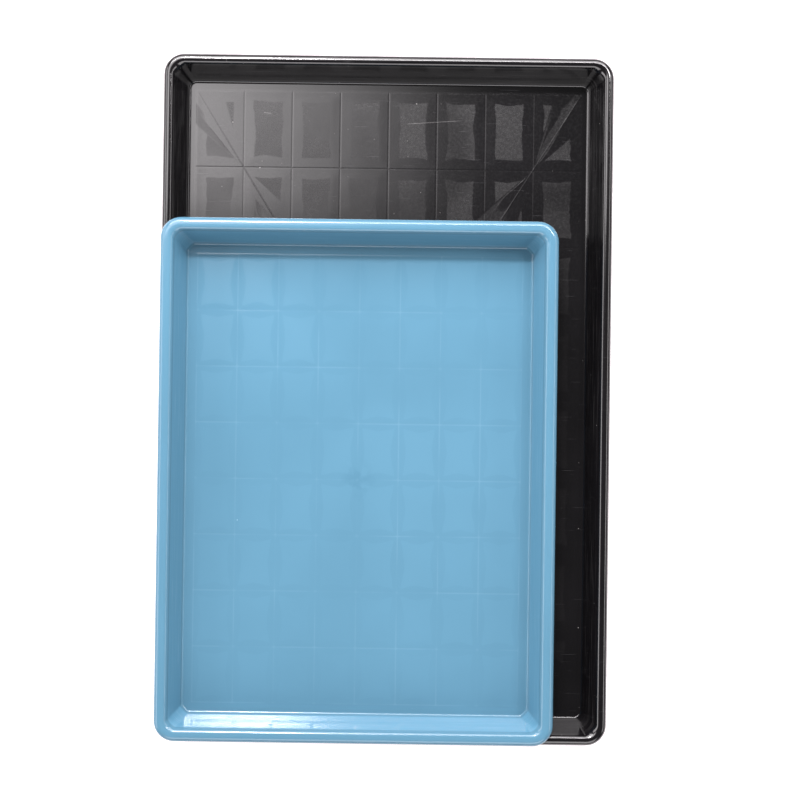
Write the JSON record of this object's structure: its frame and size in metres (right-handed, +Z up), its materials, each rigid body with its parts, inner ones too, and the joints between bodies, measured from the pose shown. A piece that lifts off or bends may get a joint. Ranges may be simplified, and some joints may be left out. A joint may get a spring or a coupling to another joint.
{
  "type": "nested seedling trays",
  "caption": "Shallow open greenhouse tray with a smaller tray of the same design nested in one corner; ribbed flat floors, sloping walls, rounded rims.",
  "frame": {"origin": "under the middle of the large tray, on the surface it stands on", "axes": "+Z up, +Y along the long side away from the nested tray's corner, +X across to the right"},
  "size_m": [0.394, 0.6, 0.042],
  "materials": {
    "black_plastic": "black moulded plastic, satin gloss with faint flow marks",
    "blue_plastic": "light blue moulded plastic, glossy"
  },
  "bodies": {
    "large_tray_body": {"large_tray": "black_plastic"},
    "small_tray_body": {"small_tray": "blue_plastic"}
  },
  "joints": [
    {"name": "small_tray_lift", "type": "slide", "parent": "large_tray_body", "child": "small_tray_body", "axis": [0, 0, 1], "range_m": [0, 0.08]}
  ]
}
